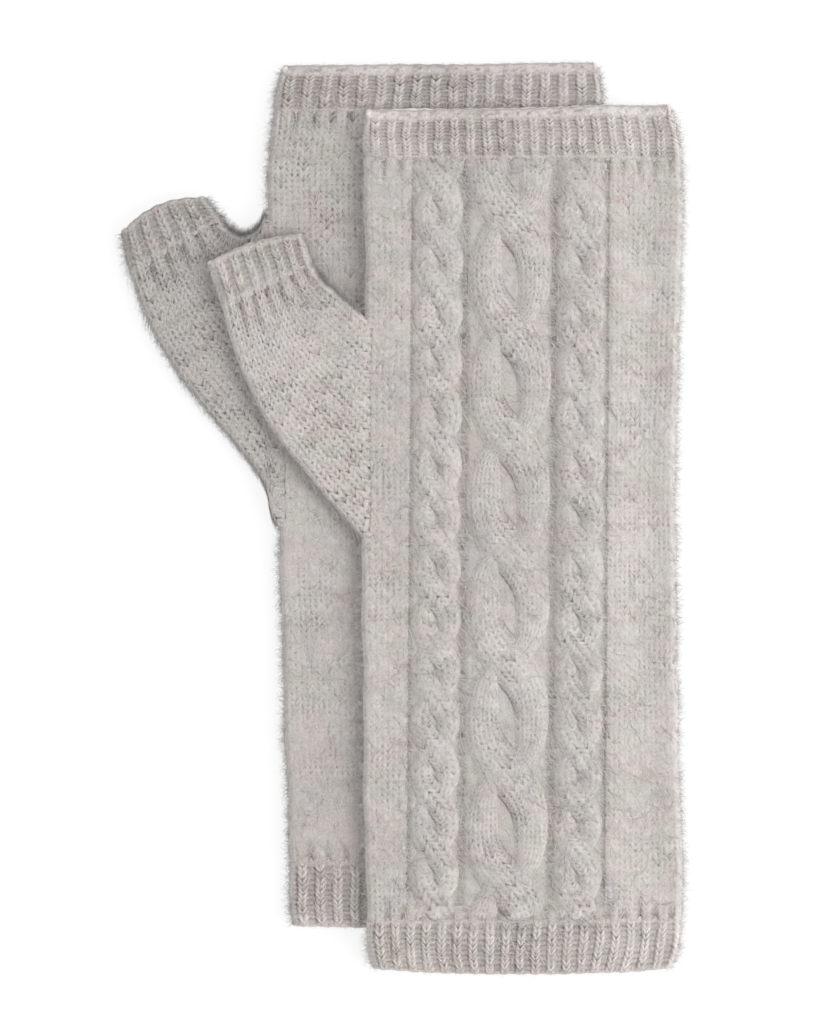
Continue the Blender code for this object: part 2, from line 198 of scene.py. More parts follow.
# Point of a flat tube. around is the distance round the outside from the middle of its top layer,
# ahead moves it on along the tube, and height is measured outwards: straight up on the top
# layer, round the side fold, and down on the bottom layer
def onTube(glove, section, around, t, height, ahead=0):
    midX, midY, dirX, dirY, flat = section(t)
    reach = np.abs(around)
    turn = ((reach - flat) / foldRadius).clip(0, np.pi)
    past = (reach - flat - np.pi * foldRadius).clip(0)
    across = np.sign(around) * (
        np.minimum(reach, flat) - past + (foldRadius + height) * np.sin(turn)
    )
    x = midX + dirX * across - dirY * ahead + glove["place"][0]
    y = midY + dirY * across + dirX * ahead + glove["place"][1]
    wave = cloth["wave"] * softWave(x, y) * (1 + np.cos(turn)) / 2
    z = foldRadius + (foldRadius + height) * np.cos(turn) + wave + restHeight(glove, x, y)
    return np.stack([x, y, z], -1)


# Where a glove's arm rim has its middle, from the frame's hand tube
def setPlace(glove):
    low, high = (np.array(c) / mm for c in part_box(f"{glove['side']}_hand_tube"))
    y = np.linspace(glove["armRib"], glove["length"] - glove["fingerRib"], 200)
    right = smoothRows(glove["edges"], y)[:, 1].max()
    glove["place"] = (high[0] - right, low[1] - glove["armRib"] - cloth["seam"] / 2)


for each in (lowerGlove, upperGlove):
    setPlace(each)
print("gloves placed", lowerGlove["place"], upperGlove["place"])


emptyFace = 1e-4  # twice the area, in square millimetres, below which a face is left out


# Faces of four corners over a grid of points, whose last column meets the first one where it is
# closed. Faces with no area are left out, and so are those where skip is true
def gridQuads(points, closed, skip=None):
    rows, columns = points.shape[:2]
    ids = np.arange(rows * columns).reshape(rows, columns)
    nextIds = np.roll(ids, -1, 1)
    if not closed:
        ids, nextIds = ids[:, :-1], nextIds[:, :-1]
    quads = np.stack([ids[:-1], nextIds[:-1], nextIds[1:], ids[1:]], -1)
    quads = quads.reshape(-1, 4) if skip is None else quads[~skip[:-1]]
    flatPoints = points.reshape(-1, 3)
    one, two = (flatPoints[quads[:, a]] - flatPoints[quads[:, b]] for a, b in ((2, 0), (3, 1)))
    return quads[np.linalg.norm(np.cross(one, two), axis=1) > emptyFace]


# A closed tube from a grid of points
def tubeMesh(name, points, skip, layers, uv):
    return meshObject(name, points.reshape(-1, 3), gridQuads(points, True, skip), layers, uv)


# Puts whole arrays into a new mesh object: points in millimetres, faces that all have the same count
# of corners, and layers of one number a point
def meshObject(name, points, faces, layers, uv=None):
    corners = faces.shape[1]
    used, faces = np.unique(faces, return_inverse=True)
    faces = faces.reshape(-1, corners)
    points = points[used]
    mesh = bpy.data.meshes.new(name)
    mesh.vertices.add(len(points))
    mesh.vertices.foreach_set("co", (points * mm).astype(np.float32).ravel())
    mesh.loops.add(faces.size)
    mesh.loops.foreach_set("vertex_index", faces.ravel().astype(np.int32))
    mesh.polygons.add(len(faces))
    mesh.polygons.foreach_set("loop_start", np.arange(0, faces.size, corners, dtype=np.int32))
    mesh.polygons.foreach_set("use_smooth", np.ones(len(faces), bool))
    mesh.update(calc_edges=True)
    for key, values in layers.items():
        layer = mesh.attributes.new(key, "FLOAT", "POINT")
        layer.data.foreach_set("value", np.ravel(values)[used].astype(np.float32))
    if uv is not None:
        coords = uv.reshape(-1, 2)[used][faces.ravel()]
        mesh.uv_layers.new(name="UVMap").data.foreach_set("uv", coords.astype(np.float32).ravel())
    piece = bpy.data.objects.new(name, mesh)
    bpy.context.scene.collection.objects.link(piece)
    return piece


# Columns of knitting across a run of segments. Each segment is (wales, kind, columns a wale), and a
# column has its segment, its share of it, and its place in its own wale: 0 in the middle, 1 at
# both sides. A rib is a knitted wale and then a purled one, at two columns to its one
def waleColumns(segments):
    parts = []
    for k, (wales, kind, perWale) in enumerate(segments):
        if kind == "rib":
            purls = perWale // 2
            share = cloth["ribShare"]
            one = np.concatenate([share * np.arange(perWale) / perWale,
                                  share + (1 - share) * np.arange(purls) / purls])
            wale = (np.arange(wales)[:, None] + one).ravel()
            isKnit = wale % 1 < share - 0.001
            inWale = np.where(isKnit, np.abs(2 * (wale % 1) / share - 1), 1)
        else:
            wale = np.arange(wales * perWale) / perWale
            isKnit = np.full(len(wale), kind == "knit")
            inWale = np.where(isKnit, np.abs(2 * (wale % 1) - 1), 1)
        start = sum(segment[0] for segment in segments[:k])
        parts.append(np.stack([0 * wale + k, wale / wales, inWale, isKnit, start + wale]))
    segment, share, inWale, isKnit, wale = np.hstack(parts)
    return {"segment": segment.astype(int), "share": share, "inWale": inWale, "knit": isKnit > 0,
            "wale": wale, "rib": np.array([piece[1] == "rib" for piece in segments])[segment.astype(int)]}


# Height of the knitting over its back, from 0 to 1. A leg of a plain stitch is a rounded band along
# the zigzag, highest half way, and the line between two courses is deep only at the ends of the
# legs, in a rib only in its middle. A purled column has one bump for each course
def stitchHeight(inWale, turn, knit, rib):
    band = np.sin(np.pi * (turn % 1)) ** 0.8
    line = np.where(rib, 0.55 + 0.3 * (1 - inWale) ** 2, 0.62 + 0.38 * np.cos(2 * np.pi * inWale))
    plainLeg = 0.55 + 0.45 * np.sin(np.pi * (0.12 + 0.76 * inWale))
    leg = np.where(rib, 0.66 + 0.34 * np.sin(np.pi * inWale.clip(0, 0.97)), plainLeg)
    purl = np.where(rib, 0.42 + 0.34 * band, 0.4 + 0.25 * band)
    return np.where(knit, leg * (1 - line * (1 - band)), purl)


# One random number for each stitch, from its wale and course
def perStitch(wale, turn, table):
    return table[np.floor(wale).astype(int) % table.shape[0], np.floor(turn).astype(int) % table.shape[1]]


# Shade of the heather yarn: it runs along a course, so it changes slowly across the wales and
# jumps from one course to the next
def heatherShade(wale, turn, table):
    course = np.floor(turn).astype(int) % table.shape[1]
    along = wale / 2.5
    k = np.floor(along).astype(int)
    f = along - k
    rows = table.shape[0]
    return table[k % rows, course] * (1 - f) + table[(k + 1) % rows, course] * f


# How far the fuzz hides the stitches of each hand and each kind of piece, at the start and the end
calm = {
    "left": (0.9, 0.2), "right": (0.55, 0.5),
    "cable": (0.25, 0.25), "thumb": (0.1, 0.05), "rib": (0.1, 0.1),
}

stitch = {
    "rows": 3,  # rows of points in a course
    "spare": 0.6,  # courses worked past each end, and cut off there
    "sway": 0.45, "jump": 0.16,  # how far courses drift and single stitches jump, in courses
    "ends": 0.2,  # courses over which the stitches flatten out at an end
    "mean": 0.65,  # height of a surface whose stitches are hidden
    "level": 0.6,  # height that lies level with the tube's own surface
    "under": 0.4,  # how much deeper the bottom layer lies
}
stitchTable = random.random((97, 211))
yarnTable = random.random((89, 223))


# Slow random drift, from -1 to 1: a coarse table of random numbers, smoothly filled in
def drift(across, along, table):
    x, y = np.floor(across).astype(int), np.floor(along).astype(int)
    f, g = across - x, along - y
    f, g = eased(f), eased(g)
    rows, columns = table.shape
    corner = [table[(x + i) % rows, (y + j) % columns] for i in (0, 1) for j in (0, 1)]
    low, high = corner[0] * (1 - g) + corner[1] * g, corner[2] * (1 - g) + corner[3] * g
    return 2 * (low * (1 - f) + high * f) - 1


# Rows and heights of a lattice of stitches: where each point lies along the tube in courses, how
# far it stands up, and two layers: hollow, painted shade down in the stitches, and shade, the
# yarn's heather tone with painted light on the raised legs. The stitches flatten out at both ends,
# and fuzz hides them in patches. hidden is the share that it hides at the start and at the end.
# way is -1 where the stitches were knitted backwards
def lattice(columns, low, high, seed, hidden, way=1):
    lean, perCourse = cloth["lean"] * way, stitch["rows"]
    first = np.floor((low - max(lean, 0) - stitch["spare"]) * perCourse)
    turn = np.arange(first, (high - min(lean, 0) + stitch["spare"]) * perCourse)[:, None] / perCourse
    inWale, knit, rib = columns["inWale"][None] + 0 * turn, columns["knit"][None], columns["rib"]
    wale = columns["wale"][None] + seed + 0 * turn
    turn = turn + 0 * wale
    along = turn + lean * inWale + stitch["sway"] * drift(wale / 3.1, turn / 4.3, stitchTable)
    chance = perStitch(wale, turn, stitchTable)
    raised = stitchHeight(inWale, turn + stitch["jump"] * (chance - 0.5), knit, rib)
    raised = raised * np.where(rib & ~knit, 0.95, 0.75 + 0.4 * chance)
    patch = 0.5 + 0.5 * drift(wale / 2.9 + 7, turn / 5.1, yarnTable)
    hiding = hidden[0] + (hidden[1] - hidden[0]) * (turn - low) / (high - low)
    clear = (1 - hiding * (0.3 + 1.1 * patch)).clip(0)
    ends = (np.minimum(along - low, high - along) / stitch["ends"]).clip(0, 1)
    # painted shade down in the stitches' hollows, of random depth from stitch to stitch
    deep = 0.45 + 1.2 * perStitch(wale + 41, turn + 13, stitchTable) ** 2
    deep = np.where(rib & ~knit, 0.7, deep)
    hollow = clear * ends * (1 - raised).clip(0, 1) ** 1.2 * deep
    raised = stitch["mean"] + (raised - stitch["mean"]) * ends * clear
    # the yarn's heather tone, and painted light on the raised legs
    shade = (0.75 - 0.45 * rib) * heatherShade(wale, turn, yarnTable) + (0.9 + 0.9 * rib) * (raised - 0.55)
    return along.clip(low, high), raised, {"hollow": hollow, "shade": shade}


# Height of plain knitting over the tube's own surface
def knitHeight(raised, under):
    return cloth["stitchDepth"] * (raised - stitch["level"] - stitch["under"] * under)


# Middle of the cable panel
def panelMiddle(y):
    low, high = cablePanel["middle"]
    return low + (high - low) * y / upperGlove["length"]


# Distances round a tube from the middle of its top to the borders of its segments: half of the
# underside, the left fold, the top with any borders inside it, the right fold, and the other half
def tubeStops(flat, inner=()):
    fold = np.pi * foldRadius
    return np.stack([-2 * flat - fold, -flat - fold, -flat, *inner, flat, flat + fold, 2 * flat + fold])


# Distance of each column round the tube: its share of the way between the borders of its segment
def columnAround(columns, stops):
    each = np.arange(len(columns["segment"]))
    start = stops[columns["segment"], :, each].T
    end = stops[columns["segment"] + 1, :, each].T
    return start + (end - start) * columns["share"]


# How far round the side fold a point is: 0 on the top layer, 1 on the bottom one
def foldShare(around, flat):
    return ((np.abs(around) - flat) / (np.pi * foldRadius)).clip(0, 1)


# How much a point belongs to the top layer: half a wave down from 1 to 0 round the fold
def topShare(under):
    return (1 + np.cos(np.pi * under)) / 2


# Valleys that run on past the seam of a cuff: how far they reach into the knitting, how deep they
# are and how much painted shade lies in them
ribTails = {
    "hand": {"reach": 7.0, "deep": 0.5, "hollow": 0.75},
    "thumb": {"reach": 11.0, "deep": 0.6, "hollow": 0.6},
    "uneven": 0.45,
}


# How much of such a valley is left at a distance past the seam. It fades out to a reach of its own,
# and across the ribs it is a squared wave, lowest between two of them
def ribTail(kind, ribs, around, flat, past, wale):
    reach = ribTails[kind]["reach"] * (1 + ribTails["uneven"] * drift(wale / 1.3, 9 + 0 * past, stitchTable))
    place = (around + flat) / (2 * flat) * ribs - cloth["ribShare"] / 2
    valley = (0.5 - 0.5 * np.cos(2 * np.pi * place)) ** 2
    return (1 - past / reach).clip(0, 1) ** 0.7 * valley * (np.abs(around) <= flat)


foldLight = {"from": 0.4, "lessShade": 0.8, "paintedLight": 1.3}


# Painted light on the side folds: less painted shade in their stitches and a lighter colour,
# growing from the top layer to where the fold faces sideways
def paintedFoldLight(hollow, shade, under):
    thick = (under / foldLight["from"]).clip(0, 1)
    return {"hollow": hollow * (1 - foldLight["lessShade"] * thick), "shade": shade + foldLight["paintedLight"] * thick}


handStitch = {
    "seeds": {"left": 40, "right": 3},
    "coarseFrom": -6.5,  # the plain one is covered from here on, and its grid is coarse there
    "panelEnds": 9.0,  # distance over which the panel sinks in past the cuffs
    "blurred": 0.8,  # share of the stitches that the fuzz hides on the ground between the cables
    "gutterShade": 0.4, "groundShade": 0.12,
    "seamBite": 3.0,  # the wales reach unevenly, over this distance, into the seams at both ends
    "slotLap": 1.5,  # how far the cloth laps over the lower end of the thumb's slot
}


# Arm and hand in plain knitting. The cabled one has purled gutters and a sunken ground, which its
# cables lie on
def handTube(glove, cabled):
    y0, y1 = glove["armRib"], glove["length"] - glove["fingerRib"]
    if cabled:
        top = [(3, "knit", 8), (1, "purl", 4), (5, "purl", 2), (1, "purl", 4), (8, "purl", 2),
               (1, "purl", 4), (5, "purl", 2), (1, "purl", 4), (6, "knit", 8)]
    else:
        top = [(12, "knit", 8), (16, "knit", 1)]
    columns = waleColumns([(14, "knit", 2), (2, "knit", 8), *top, (2, "knit", 8), (14, "knit", 2)])
    courses = round((y1 - y0) / cloth["course"])
    side = glove["side"]
    along, raised, layers = lattice(columns, 0, courses, handStitch["seeds"][side], calm[side])
    y = y0 + along * (y1 - y0) / courses
    uneven = 0.5 + 0.5 * drift(columns["wale"] / 1.1 + 0 * y, 3 + 0 * y, stitchTable)
    bite = handStitch["seamBite"]
    y = y - uneven * (1 - (y1 - y) / bite).clip(0) + uneven * (1 - (y - y0) / bite).clip(0)
    section = handSection(glove)
    middle, _, _, _, flat = section(y)
    inner = [flat * 0 + handStitch["coarseFrom"]]
    if cabled:
        half = cablePanel["gutterHalf"]
        panel = panelMiddle(y) - middle
        inner = [panel + gutter + way * half for gutter in cablePanel["gutters"] for way in (-1, 1)]
    around = columnAround(columns, tubeStops(flat, inner))
    under = foldShare(around, flat)
    fromEnd = np.minimum(y - y0, y1 - y)
    sink = 0
    if cabled:
        offset = np.abs(around - panel)
        ends = (fromEnd / handStitch["panelEnds"]).clip(0, 1)
        gutter = np.min([np.abs(offset - g) for g in cablePanel["gutters"][2:]], 0) < half + 0.1
        sunken = (offset < cablePanel["gutters"][-1]) & (under <= 0)
        clear = 1 - handStitch["blurred"] * ends * (sunken & ~gutter)
        raised = stitch["level"] + (raised - stitch["level"]) * clear
        # painted shade in the gutters and, less, on the sunken ground
        dark = np.where(gutter, handStitch["gutterShade"], handStitch["groundShade"])
        layers["hollow"] = layers["hollow"] * clear + ends * sunken * dark
        sink = ends * sunken * np.where(gutter, cablePanel["gutterDepth"], cablePanel["groundDepth"])
    tail = ribTail("hand", glove["ribs"], around, flat, fromEnd.clip(0), columns["wale"])
    height = knitHeight(raised, under) - sink - ribTails["hand"]["deep"] * tail
    # painted shade in those valleys
    hollow = layers["hollow"] + ribTails["hand"]["hollow"] * tail * (0.4 + raised)
    layers = paintedFoldLight(hollow, layers["shade"], under)
    inSlot = (y > glove["slot"][0] + handStitch["slotLap"]) & (y < glove["slot"][1] - 2 * thumbSlide)
    skip = inSlot & (columns["segment"] == 1)
    points = onTube(glove, section, around, y, height)
    return tubeMesh(f"{side}HandKnit", points, skip, layers, np.stack([around, y], -1) / 100)


# Centre line of a cable's strand: its place, its slope and how far to the front it is, -1 to 1
def strandPath(cable, way, y):
    turn = np.pi * (y - cable["first"]) / cable["pitch"]
    lift = -way * np.cos(turn)
    tight = np.where(lift > 0, cable["front"], cable["back"])
    full = cable["swing"] / np.tanh(tight)
    swing = way * np.tanh(tight * np.sin(turn))
    slope = way * full * tight * np.cos(turn) * np.pi / cable["pitch"] * (1 - swing**2)
    return panelMiddle(y) + cable["centre"] + full * swing, slope, lift, swing / np.tanh(tight)


# Half of a strand's width
def strandHalf(cable, lift):
    return cable["half"] * (1 + cablePanel["spread"] * lift * np.abs(lift))


# Height of a strand: an arch over its width, higher where it lies in front and lower where it passes
# behind. Its inner edges, beside the strand that it crosses, are steep, and all edges end in the
# ground. swing is where the strand is, -1 to 1
def strandHeight(cable, side, lift, swing):
    inner = (-1.8 * np.sign(side) * swing * lift.clip(0)).clip(0, 1)
    soft, steep = (1 - np.abs(side) ** 2.3).clip(0) ** 0.9, (1 - np.abs(side) ** 3).clip(0) ** 0.5
    arch = soft + (steep - soft) * inner
    level = np.where(lift > 0, cablePanel["over"], cablePanel["under"]) * lift
    return arch, inner, (cable["height"] + level) * arch - cablePanel["edgeDepth"] * (1 - arch)


cableStitch = {
    "gap": 0.5,  # distance between a strand's end and the seam of the cuff
    "stations": 1500,  # at which its length is measured
    "ends": 4.0,  # it rises out of the ground over this distance
    "sunk": 0.5,  # from this depth
    # painted light: the strands lighter all over, and the front strand lighter on its crest and darker down
    # its sides; painted shade down all sides and along the inner edges where the strands cross
    "shade": 0.14, "crestLight": 0.35,
    "sideShade": 0.15, "crossingShade": 0.9,
}


# One strand of a cable, as a strip carried along its centre line
def cableStrand(glove, cable, way, seed):
    y0, y1 = glove["armRib"] + cableStitch["gap"], glove["length"] - glove["fingerRib"] - cableStitch["gap"]
    fine = np.linspace(y0, y1, cableStitch["stations"])
    steps = np.hypot(np.diff(strandPath(cable, way, fine)[0]), np.diff(fine))
    path = np.concatenate([[0], np.cumsum(steps)])
    columns = waleColumns([(cable["wales"], "knit", 8)])
    columns = {key: np.append(values, values[0]) for key, values in columns.items()}
    columns["wale"][-1] += cable["wales"]
    columns["share"][-1] = 1
    side = 2 * columns["share"] - 1
    courses = round(path[-1] / cloth["course"])
    along, raised, layers = lattice(columns, 0, courses, seed, calm["cable"])
    y = np.interp(along * path[-1] / courses, path, fine)
    centre, slope, lift, swing = strandPath(cable, way, y)
    level = strandHalf(cable, lift) / np.sqrt(1 + slope**2)
    x = centre + side * level
    lie = (y - side * slope * level).clip(y0, y1)
    arch, inner, height = strandHeight(cable, side, lift, swing)
    ends = eased((np.minimum(y - y0, y1 - y) / cableStitch["ends"]).clip(0, 1))
    # the stitches are clear on the tops of the strands, and blurred by fuzz down their sides
    clear = (0.4 + 0.75 * arch) * (0.8 + 0.2 * lift)
    sunk = cableStitch["sunk"]
    height = ends * (height + sunk) - sunk + cloth["stitchDepth"] * (raised - stitch["mean"]) * clear
    # painted shade down the strand's sides and along its inner edges at a crossing
    edgeShade = cableStitch["sideShade"] + cableStitch["crossingShade"] * inner
    layers["hollow"] = layers["hollow"] * clear + (1 - arch) * edgeShade
    # painted light on the strand, and on the crest of the front one, with painted shade down its sides
    top = cableStitch["crestLight"] * (arch - 0.5) * lift.clip(0)
    layers["shade"] = layers["shade"] + top + cableStitch["shade"]
    section = handSection(glove)
    points = onTube(glove, section, x - section(lie)[0], lie, height)
    return points, layers, np.stack([side * cable["half"] + 0 * y, y], -1) / 100


# Height of the cabled knitting anywhere on the top of the upper glove
def panelHeight(x, y):
    glove = upperGlove
    offset = np.abs(x - panelMiddle(y))
    inside = (y > glove["armRib"] + cablePanel["ends"]) & (
        y < glove["length"] - glove["fingerRib"] - cablePanel["ends"])
    height = np.where(inside & (offset < cablePanel["gutters"][-1]), -cablePanel["groundDepth"], 0.0)
    for cable in cablePanel["cables"]:
        for way in (-1, 1):
            centre, slope, lift, swing = strandPath(cable, way, y)
            side = (x - centre) / (strandHalf(cable, lift) * np.sqrt(1 + slope**2))
            strand = strandHeight(cable, side.clip(-1, 1), lift, swing)[2]
            height = np.where(inside & (np.abs(side) < 1), np.maximum(height, strand), height)
    return height


# A rim's shape: how far a point stands ahead of its row, growing from the seam to the rim. The top
# layer laps short of the lower one, the middle bows out, and one corner may hang back
def rimAhead(rim, around, flat, part):
    lap, bow, tilt = rim
    under = foldShare(around, flat)
    below = np.sign(around) * ((2 * flat + np.pi * foldRadius - np.abs(around)) / flat).clip(0, 1)
    share = 0.5 + 0.5 * np.where(under < 1, (around / flat).clip(-1, 1), below)
    return part * (4 * bow * share * (1 - share) - tilt * (1 - share**2) - lap * topShare(under))


droop = {
    "fullLap": 2.0,  # the top layer is pressed down fully where it laps this short of the lower one
    "always": 0.2, "lapped": 1.7,  # how far it goes down at any rim, and on top of that at such a one
    "over": 9.0,  # distance before the rim over which it goes down
}


def rimPress(rim):
    return min(1.0, rim[0] / droop["fullLap"])


# How far the top layer is pressed down: more and more towards the rim
def rimDroop(press, under, fromRim):
    near = (1 - fromRim / droop["over"]).clip(0, 1) ** 1.3
    return topShare(under) * (droop["always"] + droop["lapped"] * press) * near


# A cuff. Its rows beyond the courses are given by how far on they are and by their height: before
# the seam, over the rim's thickness, the same where a lapped rim is pressed down, and back inside
cuff = {
    "before": [(-1.4, -0.4)],
    "over": [(0.25, -0.15), (0.45, -0.7), (0.45, -1.5), (0.3, -2.1)],
    "pressed": [(0.7, -0.1), (1.4, -0.25), (2.1, -0.5), (2.7, -0.9)],
    "back": [0, 0.6, 1.2, 2.0, 3.0, 4.5, 6.0],
    "thinned": 0.45, "thinBack": 3.0,  # the lower layer of a lapped rim loses this share of its wall
    "sink": 0.12,  # how much deeper the bottom layer lies
    "castOff": 2.5,  # the ribs flatten and the rim grows ragged over this distance before it
    "wander": 0.35,  # how far the ribs stray sideways
    "scallop": 0.12, "ragged": 0.2,
    "valley": (0.27, 0.14),  # painted shade in the hollow between two ribs, and how much it varies
    "groove": 0.1,  # painted shade along the middle of a rib
    "loops": (0.8, 1.0, 0.8, 0.3),  # share of the painted shade in the cast-off loops' hollows, in each row over the rim
    # painted light over the rounded rim, less over a deep loop's hollow
    "rimLight": 0.35,
}


# A ribbed cuff: outer rows from just under the seam to the rim, then over the rim's thickness and
# a little way back inside. Where the top layer laps short of the lower one, it is pressed down on
# it. sign is -1 for an arm cuff, whose rim lies towards the arm
def ribCuff(name, glove, section, seamAt, rimAt, length, ribs, rim, seed, sign=1):
    below = ((ribs + 1) // 2, "rib", 4)
    columns = waleColumns([below, (1, "rib", 8), (ribs, "rib", 8), (1, "rib", 8), below])
    courses = max(4, round(length / cloth["ribCourse"]))
    along, raised, layers = lattice(columns, 0, courses, seed, calm["rib"], sign)
    wale, press = columns["wale"], rimPress(rim)
    wide = 0 * wale
    kinds = ("before", "over", "pressed")
    before, over, pressed = (np.array(cuff[kind])[:, :, None] + wide for kind in kinds)
    back = np.array(cuff["back"])[:, None] + wide
    outer = slice(1, len(along) + 1)
    overRim = slice(outer.stop, outer.stop + len(over))
    part = np.concatenate([
        before[:, 0] / length, along / courses, 1 + 0 * over[:, 0], 1 - back / max(length, cuff["back"][-1])])
    toRim = (1 - part) * length
    t = seamAt + (rimAt - seamAt) * part
    flat = section(t)[4]
    around = columnAround(columns, tubeStops(flat))
    around = around + cuff["wander"] * drift(wale / 1.7 + 0 * t, part * length / 4.2 + seed, stitchTable)
    under = foldShare(around, flat)
    above = topShare(under)

    # the lower layer of a lapped rim is thin, and its top layer is pressed down
    thin = cuff["thinned"] * press * (1 - above[overRim.start])
    inside = -cloth["wall"] * (1 - thin * (1 - back / cuff["thinBack"]).clip(0, 1))
    over[:, 1] *= 1 - thin
    over += press * above[overRim, None] * (pressed - over)
    ridge = np.where(columns["knit"], (1 - columns["inWale"] ** 4).clip(0) ** 0.6, 0)
    fade = ((part[outer] * length + 0.5) / 0.8).clip(0, 1) * (0.4 + toRim[outer] / cuff["castOff"]).clip(0, 1)
    ribbed = cloth["ribDepth"] * (ridge - 1) * fade + cloth["stitchDepth"] * (raised - stitch["level"])
    height = np.concatenate([before[:, 1], ribbed, over[:, 1], inside])
    height = height - rimDroop(press, under, toRim) - cuff["sink"] * under
    ahead = rimAhead(rim, around, flat, sign * part.clip(0))
    ahead[overRim] += sign * over[:, 0]
    scallop = cuff["scallop"] * (np.cos(2 * np.pi * (wale - cloth["ribShare"] / 2)))
    scallop = scallop + cuff["ragged"] * drift(wale / 2.3, wide + seed, stitchTable)
    ahead += sign * scallop * (1 - toRim / cuff["castOff"]).clip(0, 1)
    points = onTube(glove, section, around, t, height, ahead)

    # painted shade in the valleys and grooves, and in small hollows between the loops of the cast-off edge,
    # and painted light over the rim
    valley = cuff["valley"][0] + cuff["valley"][1] * drift(wale / 3.3 + seed, along / 5.7, yarnTable)
    groove = columns["knit"] * (1 - 2 * columns["inWale"]).clip(0)
    hollow = layers["hollow"] * (0.3 + 0.7 * fade) + fade * (valley * (1 - ridge) + cuff["groove"] * groove)
    loops = perStitch(wale * 4 + seed, 7 * np.arange(len(over))[:, None] + wide, stitchTable) ** 2
    edge = (0.1 + 0.6 * loops) * np.array(cuff["loops"])[:, None]
    hollow = np.concatenate([before[:, 0] * 0, hollow, edge, 0 * back])
    shade = layers["shade"]
    shade = np.concatenate([shade[:1], shade, np.repeat(shade[-1:], len(over) + len(back), 0)])
    layers = paintedFoldLight(hollow, shade, under)
    layers["shade"][overRim] += cuff["rimLight"] * (1 - 0.6 * loops)
    uv = np.stack([around, part * length], -1) / 100
    if sign < 0:
        points, uv = points[::-1], uv[::-1]
        layers = {key: values[::-1] for key, values in layers.items()}
    return tubeMesh(name, points, None, layers, uv)


thumbStitch = {
    "stations": 160,  # at which the lengths of its columns are measured
    "tuckFrom": 0.03,  # share of its length that tucks under the edge of the slot
    "tuckDeep": 0.3, "tuckOn": 0.8,  # how far that sinks and runs on
}


# The thumb's tube: columns at equal shares of its section run from the rib to the slot, and the
# courses are counted along each from the rib, so that they stay square to the thumb. Its last
# rows tuck under the edge of the slot
def thumbTube(glove, seed):
    section = thumbSection(glove)
    wales = 2 * glove["thumbRibs"]
    columns = waleColumns([(wales // 2, "knit", 4), (2, "knit", 4), (wales, "knit", 8), (2, "knit", 4),
                           (wales // 2, "knit", 4)])
    t = np.linspace(glove["thumbRibFrom"], 0, thumbStitch["stations"])[:, None] + 0 * columns["share"]
    spots = onTube(glove, section, columnAround(columns, tubeStops(section(t)[4])), t, 0 * t)
    steps = np.linalg.norm(np.diff(spots[..., :2], axis=0), axis=2)
    path = np.concatenate([0 * steps[:1], np.cumsum(steps, 0)])
    along, raised, layers = lattice(columns, -path[-1].max() / cloth["course"], 0, seed, calm["thumb"])
    down = -along * cloth["course"]
    t = np.stack([np.interp(down[:, j], path[:, j], t[:, 0]) for j in range(path.shape[1])], 1)
    flat = section(t)[4]
    around = columnAround(columns, tubeStops(flat))
    under = foldShare(around, flat)
    tuck = (1 - t / thumbStitch["tuckFrom"]).clip(0, 1)
    tail = ribTail("thumb", glove["thumbRibs"], around, flat, down.clip(0), columns["wale"])
    height = knitHeight(raised, under) - thumbStitch["tuckDeep"] * tuck - ribTails["thumb"]["deep"] * tail
    # painted shade in those valleys
    hollow = layers["hollow"] + ribTails["thumb"]["hollow"] * tail * (0.4 + raised)
    layers = paintedFoldLight(hollow, layers["shade"], under)
    points = onTube(glove, section, around, t, height, -thumbStitch["tuckOn"] * tuck)
    return tubeMesh(f"{glove['side']}ThumbKnit", points, None, layers, np.stack([around, -down], -1) / 100)


# Fine hairs as one mesh. Each starts at a place on a tube, runs along it at an angle while it
# curls, and stands off it: height = start + rise * s + arch * 4 s (1 - s) for s from 0 to 1. A
# hair is a narrow ribbon, which lies flat or is rolled about its own run by any angle. perUnit
# turns a millimetre into the tube's own measure of length
def hairMesh(name, glove, section, perUnit, hairs, ground, shift, rolled):
    s = np.linspace(0, 1, 3 if rolled else 4)
    turn = hairs["angle"][:, None] + hairs["curl"][:, None] * s / 2
    run = hairs["length"][:, None] * s
    t = hairs["t"][:, None] + run * np.sin(turn) * perUnit
    around = hairs["around"][:, None] + run * np.cos(turn)
    height = hairs["start"][:, None] + hairs["rise"][:, None] * s + hairs["arch"][:, None] * 4 * s * (1 - s)
    points = onTube(glove, section, around, t, height + ground(around, t), shift(around, t))
    points[..., 2] = points[..., 2].clip(0.1)
    tangent = np.gradient(points, axis=1)
    tangent /= np.linalg.norm(tangent, axis=2, keepdims=True) + 1e-9
    across = np.stack([-tangent[..., 1], tangent[..., 0], 0 * s + 0 * t], -1)
    across /= np.linalg.norm(across, axis=2, keepdims=True) + 1e-9
    width = (hairs["width"][:, None] * (1 - 0.6 * s))[..., None] / 2
    if rolled:
        roll = random.uniform(0, np.pi, len(points))[:, None, None]
        across = np.cos(roll) * across + np.sin(roll) * np.cross(tangent, across)
    pairs = np.stack([points - width * across, points + width * across], 2)
    ids = np.arange(2 * len(points) * len(s)).reshape(len(points), len(s), 2)
    faces = np.stack([ids[:, :-1, 0], ids[:, :-1, 1], ids[:, 1:, 1], ids[:, 1:, 0]], -1).reshape(-1, 4)
    shade = np.repeat(random.random(len(points)), 2 * len(s))
    return meshObject(name, pairs.reshape(-1, 3), faces, {"shade": shade, "hollow": 0 * shade})


